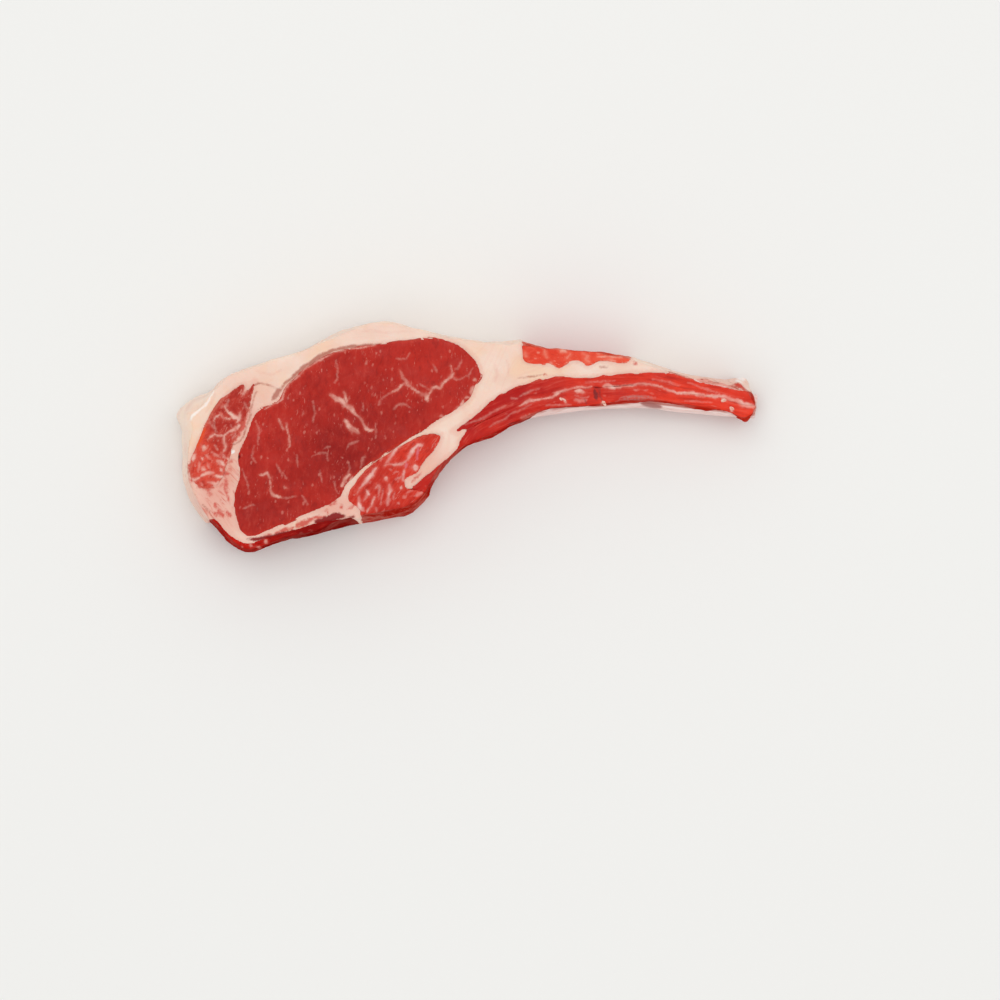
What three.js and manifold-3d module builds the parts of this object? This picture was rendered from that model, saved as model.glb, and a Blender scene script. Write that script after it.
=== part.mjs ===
// A raw lamb rib chop lying flat on its rear cut face, as cut across the rack.
// Millimetres, +Z up. X runs along the chop from the fat end to the rib tip,
// Y points to the back-fat side, and z = 0 is the face that it lies on.
import * as THREE from 'three';
import Module from 'manifold-3d';
import { mergeVertices } from 'three/addons/utils/BufferGeometryUtils.js';

const wasm = await Module();
wasm.setup();

// ---- Driving dimensions ----
const chopThickness = 20; // across the cut, at the eye of the meat
const handleThinning = 3; // how much thinner the chop is at the rib tip
const handleStart = 4; // x where that thinning sets in
const handleEnd = 73; // x of the rib tip
const fullestLevel = 6; // height of the wall's fullest line
const wallRoll = 1.8; // exponent of the wall's roll from that line to the upper face
const footRadius = 0.8; // rounding under the lower edge
const wallRises = [0, 0.35, 0.65, 0.87, 1]; // levels of that roll, as shares of its height
const wallWave = 0.25; // unevenness of the outer wall
const waveStep = 0.9; // radians of that unevenness for each outline point
const waveClimb = 0.35; // and for each millimetre upwards
const waveBeat = 0.23; // slower swing round the chop, radians for each outline point
const waveLag = 2; // outline points between the unevenness in x and in y
const tissueGap = 0.3; // between neighbouring tissues
const columnSpare = 2; // how far the cutting columns pass the faces
const pointsPerSpan = 3; // outline steps between two stated points
const sameSpot = 1e-4; // points nearer than this are one

const boneHeight = 11.4; // rib section, across the cut
const boneWidth = 6.8; // rib section, in the plane of the cut
const boneLevel = 10; // height of the rib's middle before the thinning
const boneCorner = 2.6; // exponent of the rib's rounded oblong section
const boneEndShare = 0.9; // section at the rib's ends, as a share of that at its middle
const boneSides = 20;
const boneSteps = 26;

const bandReach = 14; // how far the inner layer's column passes the hollow side

// How far each tissue's upper cut face lies below the eye's.
const faceDrop = {
  eye_muscle: 0,
  cap_muscle: 0.15,
  fat_cover: 0.35,
  rib_side_muscle: 0.3,
  outer_rib_meat: 0.15,
  inner_rib_meat: 0.3,
  handle_strip: 0.1,
  chine_strip: 0.4,
  rib_bone: 0,
};

// ---- Outlines in the plane of the cut ----
// The outer wall, clockwise from the loose flap of fat: [x, y, step x, step y], where
// the step leads from the wall's fullest line to the edge of the upper cut face.
const wallPoints = [
  // back-fat side
  [-73.0, 5.4, 4.0, 0.4], [-69.0, 9.4, 3.2, -2.0], [-64.6, 11.4, 0.4, -1.4],
  [-61.2, 14.4, 0.2, -0.5], [-54.0, 17.6, 0.2, -0.5], [-44.0, 20.7, 0.2, -0.5],
  [-34.0, 25.0, 0.2, -0.4], [-25.2, 28.1, 0.1, -0.4], [-20.4, 29.0, 0.0, -0.4],
  [-14.0, 27.6, -0.1, -0.4], [-4.0, 25.2, -0.1, -0.4], [6.0, 23.6, -0.1, -0.3],
  // top of the handle
  [13.5, 23.4, 0.0, -0.3], [20.0, 22.2, 0.0, -0.3], [27.4, 21.5, 0.0, -0.2],
  [35.0, 20.9, 0.0, -0.2],
  [43.5, 19.0, -0.1, -0.4], [52.2, 16.4, -0.2, -0.8], [58.5, 15.1, -0.1, -1.2],
  [65.5, 14.5, 0.0, -1.5], [69.6, 14.8, -0.8, -1.9],
  // rib tip
  [70.8, 13.0, -1.0, -0.9], [72.4, 8.4, -0.3, -0.1], [72.0, 5.8, -0.2, 0.1],
  [70.0, 4.3, 0.0, 0.3],
  // hollow side of the handle
  [66.0, 6.0, 0.0, 0.2], [56.0, 7.5, 0.0, 0.2], [46.0, 9.0, 0.0, 0.2],
  [33.0, 7.9, 0.0, 0.2], [21.0, 6.9, 0.0, 0.2], [13.5, 4.0, 0.0, 0.4],
  // inner wall, round to the chine
  [6.5, 0.1, -0.2, 0.5], [-0.2, -2.3, -0.1, 0.3], [-5.0, -6.8, -0.2, 0.3],
  [-8.6, -11.7, -0.3, 0.4], [-10.6, -15.6, -0.8, 0.8], [-13.6, -18.9, -0.8, 1.6],
  [-20.0, -20.6, 0.0, 2.0], [-29.0, -21.9, 0.2, 1.8], [-37.0, -24.2, 0.2, 0.9],
  [-46.0, -26.2, 0.2, 0.8], [-54.0, -29.0, 0.1, 0.9],
  // fat end
  [-58.6, -27.4, 0.7, 0.7], [-63.0, -22.8, 1.1, 0.7], [-69.0, -16.2, 1.5, 0.6],
  [-71.2, -9.2, 1.8, 0.2], [-71.4, -2.8, 2.0, 0.0], [-71.2, 1.4, 2.6, 0.2],
];

const eyePoints = [
  [-57.2, -5.2], [-55.0, 0.1], [-52.5, 6.0], [-47.2, 8.5], [-45.4, 11.8],
  [-41.5, 16.0], [-36.5, 19.3], [-30.5, 21.7], [-19.0, 23.3], [-12.0, 23.9],
  [-8.0, 24.4], [-3.6, 23.7], [1.2, 20.5], [3.8, 15.6], [2.2, 12.8], [0.8, 9.1],
  [-4.5, 5.4], [-10.4, 1.9], [-16.4, -1.4], [-21.4, -4.5], [-26.3, -8.1],
  [-30.2, -12.2], [-32.4, -16.2], [-40.0, -19.4], [-47.8, -22.7], [-54.8, -24.9], [-58.2, -17.4],
  [-56.5, -9.5],
];

const capPoints = [
  [-52.7, 14.0], [-53.9, 9.0], [-55.4, 4.0], [-58.2, -1.4], [-59.4, -5.5],
  [-62.2, -11.5], [-65.3, -13.0], [-68.4, -11.0], [-68.9, -7.4], [-66.6, -1.1],
  [-63.4, 5.4], [-60.0, 10.0], [-55.5, 13.2], [-54.9, 11.2],
];

const ribSidePoints = [
  [-6.2, 0.4], [-10.4, 0.2], [-15.9, -2.6], [-21.6, -6.0], [-25.0, -8.6],
  [-27.8, -12.2], [-29.4, -16.0], [-26.8, -18.4], [-25.4, -24.0], [-14.0, -24.0], [-7.6, -17.0],
  [-10.4, -14.0], [-14.8, -12.9], [-15.2, -11.0], [-12.0, -9.2], [-10.8, -7.0],
  [-8.0, -3.8],
];

const chinePoints = [
  [-63.5, -20.2], [-60.8, -22.3], [-57.6, -25.4], [-54.4, -26.6], [-51.0, -25.6],
  [-45.5, -24.1], [-37.0, -21.4], [-33.0, -20.5], [-27.6, -20.3], [-26.4, -27.0],
  [-41.0, -32.0], [-54.0, -35.0], [-67.0, -26.0],
];

const handleStripPoints = [
  [14.2, 20.6], [14.8, 18.8], [17.4, 18.1], [21.4, 18.2], [23.4, 17.2],
  [25.8, 18.9], [28.4, 18.9], [30.6, 17.7], [33.4, 19.1], [38.0, 18.4],
  [41.6, 19.6], [41.0, 25.0], [28.0, 27.0], [15.0, 27.0],
];

// Upper edge of the outer layer of meat along the rib, and the fascia below it.
const outerBandEdge = [
  [-3.4, 1.3], [2.0, 5.2], [5.8, 8.5], [11.0, 11.5], [17.0, 13.4], [22.0, 14.7],
  [31.0, 14.7], [38.5, 15.5], [49.5, 16.0], [54.0, 14.6], [60.0, 13.2],
  [69.6, 11.2], [76.0, 9.4],
];
const fasciaLine = [
  [-2.0, 0.8], [2.0, 2.9], [7.8, 5.6], [14.0, 8.2], [20.0, 9.9], [24.2, 11.5],
  [35.5, 12.6], [46.0, 13.0], [54.0, 11.0], [62.0, 10.2], [69.2, 8.2], [77.0, 7.6],
];
// The inner layer starts at the chine as the thin strip round the hollow side.
const innerBandStart = [[-13.6, -12.6], [-7.0, -7.0], [-2.4, -3.2], [-1.4, -0.6]];

const boneLine = [
  [4.2, 3.8], [9.0, 5.7], [16.0, 8.0], [26.0, 9.5], [36.5, 10.5], [46.0, 10.4],
  [56.0, 9.2], [65.0, 8.4], [72.9, 7.5],
];

// ---- Curves and solids ----
function smoothCurve(points, closed) {
  const knots = points.map(([x, y]) => new THREE.Vector3(x, y, 0));
  const curve = new THREE.CatmullRomCurve3(knots, closed, 'centripetal');
  const spans = closed ? points.length : points.length - 1;
  const steps = spans * pointsPerSpan;
  const last = closed ? steps - 1 : steps;
  const line = [];
  for (let i = 0; i <= last; i += 1) {
    const p = curve.getPoint(i / steps);
    line.push(new THREE.Vector2(p.x, p.y));
  }
  return line;
}

function anticlockwise(outline) {
  return THREE.ShapeUtils.area(outline) < 0 ? outline.slice().reverse() : outline;
}

// Moves each point of an anticlockwise outline outwards by a distance.
function grow(outline, distance) {
  const count = outline.length;
  return outline.map((point, i) => {
    const before = outline[(i + count - 1) % count];
    const after = outline[(i + 1) % count];
    const along = after.clone().sub(before).normalize();
    return new THREE.Vector2(point.x + along.y * distance, point.y - along.x * distance);
  });
}

function toSolid(geometry) {
  geometry.deleteAttribute('normal');
  geometry.deleteAttribute('uv');
  const merged = mergeVertices(geometry, sameSpot);
  return new wasm.Manifold(new wasm.Mesh({
    numProp: 3,
    vertProperties: new Float32Array(merged.attributes.position.array),
    triVerts: new Uint32Array(merged.index.array),
  }));
}

function toGeometry(solid) {
  const mesh = solid.getMesh();
  const geometry = new THREE.BufferGeometry();
  geometry.setAttribute('position', new THREE.BufferAttribute(mesh.vertProperties, 3));
  geometry.setIndex(new THREE.BufferAttribute(mesh.triVerts, 1));
  return geometry;
}

// A straight column that stands past both cut faces.
function column(outline) {
  const depth = chopThickness + 2 * columnSpare;
  const shape = new THREE.Shape(outline);
  const geometry = new THREE.ExtrudeGeometry(shape, { depth, bevelEnabled: false });
  geometry.translate(0, 0, -columnSpare);
  return toSolid(geometry);
}

// Joins equal rings of points into one closed body; flat holds the ends' plane figure.
function loft(rings, flat) {
  const count = flat.length;
  const points = rings.flat();
  const ends = THREE.ShapeUtils.triangulateShape(flat, []);
  const top = (rings.length - 1) * count;
  const faces = [];
  for (let ring = 0; ring < rings.length - 1; ring += 1) {
    for (let i = 0; i < count; i += 1) {
      const next = (i + 1) % count;
      const low = ring * count;
      const high = low + count;
      faces.push(low + i, low + next, high + next);
      faces.push(low + i, high + next, high + i);
    }
  }
  for (const [a, b, c] of ends) {
    faces.push(a, c, b);
    faces.push(top + a, top + b, top + c);
  }
  const geometry = new THREE.BufferGeometry().setFromPoints(points);
  geometry.setIndex(faces);
  return toSolid(geometry);
}

// The whole chop: a slab whose wall is fullest low down and rolls in to the upper face.
function wholeChop() {
  const wall = smoothCurve(wallPoints, true).reverse();
  const steps = smoothCurve(wallPoints.map(([, , x, y]) => [x, y]), true).reverse();
  const sole = grow(wall, -footRadius);
  const wave = (i, z) => {
    const beat = Math.sin(i * waveBeat + 1);
    return wallWave * beat * Math.sin(i * waveStep + z * waveClimb);
  };
  const ringAt = (z, rolled) => wall.map((p, i) => new THREE.Vector3(
    p.x + steps[i].x * rolled + wave(i, z),
    p.y + steps[i].y * rolled + wave(i + waveLag, z),
    z,
  ));
  const rings = [sole.map((p) => new THREE.Vector3(p.x, p.y, 0)), ringAt(footRadius, 0)];
  for (const rise of wallRises) {
    rings.push(ringAt(fullestLevel + rise * (chopThickness - fullestLevel), rise ** wallRoll));
  }
  return loft(rings, sole);
}

// The rib: a curved bar of rounded oblong section, swelling a little in its middle.
function ribBar(extra) {
  const knots = boneLine.map(([x, y]) => new THREE.Vector3(x, y, 0));
  const curve = new THREE.CatmullRomCurve3(knots, false, 'centripetal');
  const section = [];
  for (let i = 0; i < boneSides; i += 1) {
    const angle = (i / boneSides) * 2 * Math.PI;
    const round = (value) => Math.sign(value) * Math.abs(value) ** (2 / boneCorner);
    section.push(new THREE.Vector2(round(Math.cos(angle)), round(Math.sin(angle))));
  }
  const rings = [];
  for (let step = 0; step <= boneSteps; step += 1) {
    const t = step / boneSteps;
    const centre = curve.getPoint(t);
    const along = curve.getTangent(t);
    const swell = boneEndShare + (1 - boneEndShare) * Math.sin(Math.PI * t);
    const halfWidth = (boneWidth / 2) * swell + extra;
    const halfHeight = (boneHeight / 2) * swell + extra;
    rings.push(section.map((p) => new THREE.Vector3(
      centre.x - along.y * p.x * halfWidth,
      centre.y + along.x * p.x * halfWidth,
      boneLevel + p.y * halfHeight,
    )));
  }
  return loft(rings, section);
}

// Thins the handle and sets a tissue's upper face to its own level.
function settle(geometry, drop) {
  const place = geometry.attributes.position;
  for (let i = 0; i < place.count; i += 1) {
    const out = THREE.MathUtils.smoothstep(place.getX(i), handleStart, handleEnd);
    const local = chopThickness - handleThinning * out - drop;
    place.setZ(i, place.getZ(i) * (local / chopThickness));
  }
  return geometry;
}

// ---- The tissues ----
const fascia = smoothCurve(fasciaLine, false);
const outerBand = smoothCurve(outerBandEdge, false).concat(fascia.slice().reverse());
const innerEdge = smoothCurve(innerBandStart.concat(fasciaLine.slice(1)), false);
const innerBand = innerEdge.concat(
  innerEdge.map((p) => new THREE.Vector2(p.x + bandReach / 2, p.y - bandReach)).reverse(),
);

const columns = {
  eye_muscle: smoothCurve(eyePoints, true),
  cap_muscle: smoothCurve(capPoints, true),
  rib_side_muscle: smoothCurve(ribSidePoints, true),
  outer_rib_meat: outerBand,
  inner_rib_meat: innerBand,
  handle_strip: smoothCurve(handleStripPoints, true),
  chine_strip: smoothCurve(chinePoints, true),
};

const finishes = {
  eye_muscle: { color: 0xa92a26, roughness: 0.42 },
  cap_muscle: { color: 0xb83a33, roughness: 0.45 },
  fat_cover: { color: 0xf1d6c4, roughness: 0.5 },
  rib_side_muscle: { color: 0xb9342d, roughness: 0.42 },
  outer_rib_meat: { color: 0xc6382f, roughness: 0.42 },
  inner_rib_meat: { color: 0xc2332b, roughness: 0.42 },
  handle_strip: { color: 0xd8472f, roughness: 0.45 },
  chine_strip: { color: 0xb52c25, roughness: 0.42 },
  rib_bone: { color: 0xcfb6b4, roughness: 0.4 },
};

const chop = new THREE.Group();

function addTissue(name, solid) {
  const material = new THREE.MeshStandardMaterial({ metalness: 0, ...finishes[name] });
  const mesh = new THREE.Mesh(settle(toGeometry(solid), faceDrop[name]), material);
  mesh.name = name;
  chop.add(mesh);
}

let rest = wholeChop().subtract(ribBar(tissueGap));
for (const [name, outline] of Object.entries(columns)) {
  const ring = anticlockwise(outline);
  addTissue(name, rest.intersect(column(ring)));
  rest = rest.subtract(column(grow(ring, tissueGap)));
}
addTissue('fat_cover', rest);
addTissue('rib_bone', ribBar(0));

export default chop;
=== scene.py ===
# A raw lamb rib chop lying on a pale floor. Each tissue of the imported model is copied, given a fine skin
# with the relief of cut meat, fat or bone, and finished with its own material. Lengths are in millimetres
# until the meshes are written, which are in metres.
import itertools
import math

import bpy
import numpy as np
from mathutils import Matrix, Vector
from mathutils.bvhtree import BVHTree


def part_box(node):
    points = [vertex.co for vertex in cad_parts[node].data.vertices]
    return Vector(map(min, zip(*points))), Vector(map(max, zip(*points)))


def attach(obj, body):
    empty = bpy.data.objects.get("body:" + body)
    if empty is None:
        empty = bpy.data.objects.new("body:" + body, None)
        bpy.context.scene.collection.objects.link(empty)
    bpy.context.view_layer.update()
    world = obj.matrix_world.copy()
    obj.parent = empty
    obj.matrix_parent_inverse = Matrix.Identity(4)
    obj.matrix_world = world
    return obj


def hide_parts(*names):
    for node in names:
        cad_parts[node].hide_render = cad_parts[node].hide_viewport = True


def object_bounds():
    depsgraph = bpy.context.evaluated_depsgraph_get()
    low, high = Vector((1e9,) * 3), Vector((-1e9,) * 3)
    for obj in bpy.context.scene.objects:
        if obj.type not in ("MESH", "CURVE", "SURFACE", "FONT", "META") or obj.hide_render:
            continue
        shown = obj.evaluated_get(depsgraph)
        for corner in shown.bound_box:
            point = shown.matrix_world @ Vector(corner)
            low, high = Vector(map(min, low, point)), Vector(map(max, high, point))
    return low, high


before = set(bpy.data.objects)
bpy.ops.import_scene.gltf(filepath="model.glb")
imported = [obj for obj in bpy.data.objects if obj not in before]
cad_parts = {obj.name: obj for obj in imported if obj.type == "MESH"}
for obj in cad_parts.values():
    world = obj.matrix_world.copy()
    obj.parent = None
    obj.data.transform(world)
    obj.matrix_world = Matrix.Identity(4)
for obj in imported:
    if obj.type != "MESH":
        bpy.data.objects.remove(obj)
cadLow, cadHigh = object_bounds()
mm = 0.001
print("frame loaded:", sorted(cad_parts))


# numbers for the whole chop
chop = {
    "doublesWithin": 0.004,  # merging distance on a copied solid
    "neighbourWithin": 0.7,  # a wall nearer to another tissue than this grows towards it
    "soleFlat": 0.2,  # the rear face lies flat: relief starts above this height
    "soleHeight": 1.5,  # and is full above this one
    "rearShift": (1.6, -1.1),  # x and y: the marbling wanders this far on its way to the rear face
    "shiftFrom": 4.5,  # depth below the upper face at which it starts to
    "shiftLumps": 0.8,  # how unevenly it does
    "wobble": 0.28,  # how far the strokes stray from their drawn lines
    "strokeTip": 0.3,  # width of a stroke's tips, as a share of its full width
}

# the fascia between the two layers of meat along the rib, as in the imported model
fasciaLine = [
    (-13.6, -12.6), (-7.0, -7.0), (-2.4, -2.4), (2.0, 2.9), (7.8, 5.6), (14.0, 8.2), (20.0, 9.9),
    (24.2, 11.5), (35.5, 12.6), (46.0, 13.0), (54.0, 11.0), (62.0, 10.2), (69.2, 8.2), (77.0, 7.6),
]


# helpers for shapes
def activate(piece):
    bpy.ops.object.select_all(action="DESELECT")
    piece.select_set(True)
    bpy.context.view_layer.objects.active = piece


def readSkin(mesh):  # points in mm, and normals
    fields = []
    for name, unit in (("co", mm), ("normal", 1)):
        flat = np.empty(len(mesh.vertices) * 3, np.float32)
        mesh.vertices.foreach_get(name, flat)
        fields.append(flat.reshape(-1, 3).astype(float) / unit)
    return fields


def writePoints(mesh, points):
    mesh.vertices.foreach_set("co", (points * mm).astype(np.float32).ravel())
    mesh.update()


def writeAttributes(mesh, **layers):
    for name, values in layers.items():
        isVector = values.ndim == 2
        layer = mesh.attributes.new(name, "FLOAT_VECTOR" if isVector else "FLOAT", "POINT")
        layer.data.foreach_set("vector" if isVector else "value", values.astype(np.float32).ravel())


def applyModifier(piece, kind, **settings):
    modifier = piece.modifiers.new(kind.lower(), kind)
    for name, value in settings.items():
        setattr(modifier, name, value)
    bpy.ops.object.modifier_apply(modifier=modifier.name)


def fade(values, low, high):  # 0 below low, 1 above high, smooth between
    part = np.clip((values - low) / (high - low), 0, 1)
    return part * part * (3 - 2 * part)


# Smooth noise from -1 to 1: each corner of a grid has a height worked out from its place. The grid's size is
# in mm, one number or one for each axis.
def lumps(points, size, seed):
    place = points / np.asarray(size, float) + seed * 17.37
    cell = np.floor(place).astype(np.int64)
    part = place - cell
    part = part * part * (3 - 2 * part)
    total = np.zeros(len(points))
    for corner in itertools.product((0, 1), repeat=3):
        key = (cell + corner) @ np.array([73856093, 19349663, 83492791])
        key = ((key ^ (key >> 13)) * 1274126177) & 0x7FFFFFFF
        weight = np.prod(np.where(corner, part, 1 - part), axis=1)
        total += weight * (((key ^ (key >> 15)) & 0xFFFF) / 32767.5 - 1)
    return total


def relief(points, layers):  # layers of lumps: height, size and seed
    return sum(height * lumps(points, size, seed) for height, size, seed in layers)


# Distance in mm to the nearest stroke's edge, negative inside it. A stroke is its half width and then the
# x and y of each of its points, and it tapers towards both tips.
def strokeDistance(points, strokes):
    nearest = np.full(len(points), 9.0)
    tip = chop["strokeTip"]
    for halfWidth, *line in strokes:
        line = np.array(line, float).reshape(-1, 2)
        lengths = np.hypot(*np.diff(line, axis=0).T)
        begins = np.cumsum(lengths) - lengths
        for start, end, length, begin in zip(line, line[1:], lengths, begins):
            gap = points[:, :2] - start
            part = np.clip(gap @ (end - start) / length ** 2, 0, 1)
            gap -= part[:, None] * (end - start)
            travelled = (begin + part * length) / lengths.sum()
            width = tip + (1 - tip) * np.sqrt(np.sin(math.pi * travelled).clip(0, 1))
            nearest = np.minimum(nearest, np.hypot(gap[:, 0], gap[:, 1]) - halfWidth * width)
    return nearest


def wandering(points):  # the cut-face pattern with a natural wobble, shifting on its way to the rear face
    top = cadHigh.z / mm
    depth = fade(top - points[:, 2], chop["shiftFrom"], top - 2)
    moved = points.copy()
    for axis, shift in enumerate(chop["rearShift"]):
        wobble = lumps(points, 1.9, 5 + axis) + 0.5 * lumps(points, 0.8, 7 + axis)
        moved[:, axis] += depth * (shift + chop["shiftLumps"] * lumps(points, 6, 3 + axis))
        moved[:, axis] += chop["wobble"] * wobble
    return moved


def zoneLevel(points, base, zones):  # a level with soft oval zones: x, y, reach in x, reach in y, amount
    level = np.full(len(points), float(base))
    for x, y, reachX, reachY, amount in zones:
        level += amount * np.exp(-((points[:, 0] - x) / reachX) ** 2 - ((points[:, 1] - y) / reachY) ** 2)
    return level


def wallShare(normals):  # 1 on the side walls, 0 on both cut faces
    return 1 - fade(np.abs(normals[:, 2]), 0.35, 0.8)


def surfaceTree(node):
    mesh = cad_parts[node].data
    corners = [vertex.co / mm for vertex in mesh.vertices]
    return BVHTree.FromPolygons(corners, [tuple(face.vertices) for face in mesh.polygons])


trees = {node: surfaceTree(node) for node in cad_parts}


def nearestTissue(points, nodes, reach):  # distance to the nearest of these nodes, up to reach
    result = np.full(len(points), float(reach))
    for node in nodes:
        low, high = (np.array(corner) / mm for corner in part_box(node))
        close = np.all((points > low - reach) & (points < high + reach), axis=1)
        for index in np.nonzero(close)[0]:
            distance = trees[node].find_nearest(Vector(points[index]), reach)[3]
            if distance is not None:
                result[index] = min(result[index], distance)
    return result


def grainAlong(points, angle):  # coordinates along and across the fibres, for straight fibres
    turn = math.radians(angle)
    along = points[:, 0] * math.cos(turn) + points[:, 1] * math.sin(turn)
    across = -points[:, 0] * math.sin(turn) + points[:, 1] * math.cos(turn)
    return np.column_stack([along, across, points[:, 2]])


fasciaX = np.arange(-20, 80, 0.5)
fasciaRaw = np.interp(fasciaX, *np.array(fasciaLine).T)
fasciaY = np.convolve(np.pad(fasciaRaw, 4, mode="edge"), np.ones(9) / 9, mode="valid")


def grainRib(points):  # the same for fibres that follow the rib
    height = np.interp(points[:, 0], fasciaX, fasciaY)
    slope = np.interp(points[:, 0], fasciaX, np.gradient(fasciaY, fasciaX))
    across = (points[:, 1] - height) / np.hypot(1, slope)
    return np.column_stack([points[:, 0] + 0.4 * points[:, 1], across, points[:, 2]])


def grainRound(points):  # the same for layers that go round the eye of meat, and then along the rib
    eyeX, eyeRadius, eyeFlatness = -26, 22, 0.7
    x, y = points[:, 0] - eyeX, points[:, 1]
    ring = np.column_stack([np.arctan2(x, y) * eyeRadius, np.hypot(eyeFlatness * x, y), points[:, 2]])
    share = fade(points[:, 0], 0, 14)[:, None]
    return ring * (1 - share) + grainRib(points) * share


def growTowardsNeighbours(piece, node, look):
    points, normals = readSkin(piece.data)
    others = [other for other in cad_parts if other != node]
    within = chop["neighbourWithin"]
    reach = look["grow"] * (nearestTissue(points, others, within) < within)
    for other, share, widest in look.get("closesOn", []):  # a narrow band of fat is narrowed further
        gap = nearestTissue(points, [other], widest)
        reach = np.maximum(reach, share * np.where(gap < widest, gap, 0) * fade(widest - gap, 0, 0.6))
    for one, other, narrow, wide in look.get("slimBetween", []):  # and the fat in that band stays as it is
        gap = nearestTissue(points, [one], wide) + nearestTissue(points, [other], wide)
        reach *= 0.3 + 0.7 * fade(gap, narrow, wide)
    for other, amount in look.get("yieldsTo", []):  # growth beside a tissue that takes its share of the gap
        reach = np.where(nearestTissue(points, [other], within) < within, amount, reach)
    flat = normals * [1, 1, 0]
    length = np.linalg.norm(flat, axis=1, keepdims=True)
    writePoints(piece.data, points + flat / np.maximum(length, 0.3) * reach[:, None])


def skinOf(node, look):  # a finely meshed copy of a packed tissue
    piece = bpy.data.objects.new(look["name"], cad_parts[node].data.copy())
    piece.data.name = look["name"]
    piece.data.materials.clear()
    bpy.context.scene.collection.objects.link(piece)
    activate(piece)
    bpy.ops.object.mode_set(mode="EDIT")
    bpy.ops.mesh.select_all(action="SELECT")
    bpy.ops.mesh.remove_doubles(threshold=chop["doublesWithin"] * mm)
    bpy.ops.object.mode_set(mode="OBJECT")
    growTowardsNeighbours(piece, node, look)
    applyModifier(piece, "REMESH", mode="VOXEL", voxel_size=look["voxel"] * mm)
    applyModifier(piece, "SMOOTH", factor=0.5, iterations=look["smooth"])
    return piece


def carve(piece, depths, sink):  # moves the skin along its normals, and lowers its upper face by sink
    points, normals = readSkin(piece.data)
    share = fade(points[:, 2], chop["soleFlat"], chop["soleHeight"])
    points += normals * (depths * share)[:, None]
    points[:, 2] -= sink * share * fade(normals[:, 2], 0.2, 0.8)
    writePoints(piece.data, np.clip(points, np.array(cadLow) / mm, np.array(cadHigh) / mm))


def finishPiece(piece, node, look, material):
    piece.data.materials.append(material)
    activate(piece)
    bpy.ops.object.shade_smooth()
    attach(piece, "root")
    if node is not None:
        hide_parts(node)
    print(look["name"], "finished:", len(piece.data.polygons), "faces")


# helpers for materials
eased = {"interpolation_type": "SMOOTHSTEP"}


def linearColour(code):  # "#rrggbb" in sRGB to linear RGBA
    parts = [int(code[i:i + 2], 16) / 255 for i in (1, 3, 5)]
    return [c / 12.92 if c <= 0.04045 else ((c + 0.055) / 1.055) ** 2.4 for c in parts] + [1.0]


def addNode(material, kind, settings=None, links=None):  # links: input to node, or to (node, output)
    node = material.node_tree.nodes.new("ShaderNode" + kind)
    for name, value in (settings or {}).items():
        if isinstance(name, str) and hasattr(node, name):
            setattr(node, name, value)
        else:
            node.inputs[name].default_value = value
    for name, source in (links or {}).items():
        giver, output = source if isinstance(source, tuple) else (source, 2 if source.type == "MIX" else 0)
        material.node_tree.links.new(giver.outputs[output], node.inputs[name])
    return node


# a new material, its coordinates in mm, and the mesh layers that it reads: vectors first, then levels
def newMaterial(name, vectors=(), levels=()):
    material = bpy.data.materials.new(name)
    material.use_nodes = True
    material.node_tree.nodes.clear()
    coordinates = addNode(material, "TexCoord")
    place = addNode(material, "Mapping", {"Scale": [1 / mm] * 3}, {"Vector": (coordinates, "Object")})
    outputs = [(layer, "Vector") for layer in vectors] + [(layer, "Fac") for layer in levels]
    layers = [(addNode(material, "Attribute", {"attribute_name": layer}), output)
              for layer, output in outputs]
    return material, place, *layers


def centredNoise(m, place, strength, **settings):  # swings by half its strength to either side of 0
    noise = addNode(m, "TexNoise", settings, {"Vector": place})
    return addNode(m, "Math", {"operation": "MULTIPLY_ADD", 1: strength, 2: -strength / 2}, {0: noise})


# a texture with its own size in mm along the fibres, across them and down
def alongFibres(m, grain, sizes, kind="TexNoise", shift=(0, 0, 0), **settings):
    scales = [1 / size for size in sizes]
    place = addNode(m, "Mapping", {"Scale": scales, "Location": shift}, {"Vector": grain})
    return addNode(m, kind, {"Scale": 1, **settings}, {"Vector": place})


# a mark with a soft edge that strays with the rough noise; it starts and is full at these distances
def softMark(m, rough, source, stray, start, full, strength):
    edge = addNode(m, "Math", {"operation": "MULTIPLY_ADD", 1: stray}, {0: rough, 2: source})
    settings = {**eased, "From Min": start, "From Max": full, "To Max": strength}
    return addNode(m, "MapRange", settings, {"Value": edge})


def layColours(m, look, base, layers):  # each layer is a mask and the name of the tone that it lets through
    colour = None
    for mask, tone in layers:
        settings = {"data_type": "RGBA", 6: linearColour(look[base]), 7: linearColour(look[tone])}
        colour = addNode(m, "Mix", settings, {0: mask, 6: colour} if colour else {0: mask})
    return colour


def closeMaterial(material, settings, links):  # adds the shader with these settings and links
    shader = addNode(material, "BsdfPrincipled", settings, links)
    addNode(material, "OutputMaterial", None, {"Surface": shader})
    return material


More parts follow.
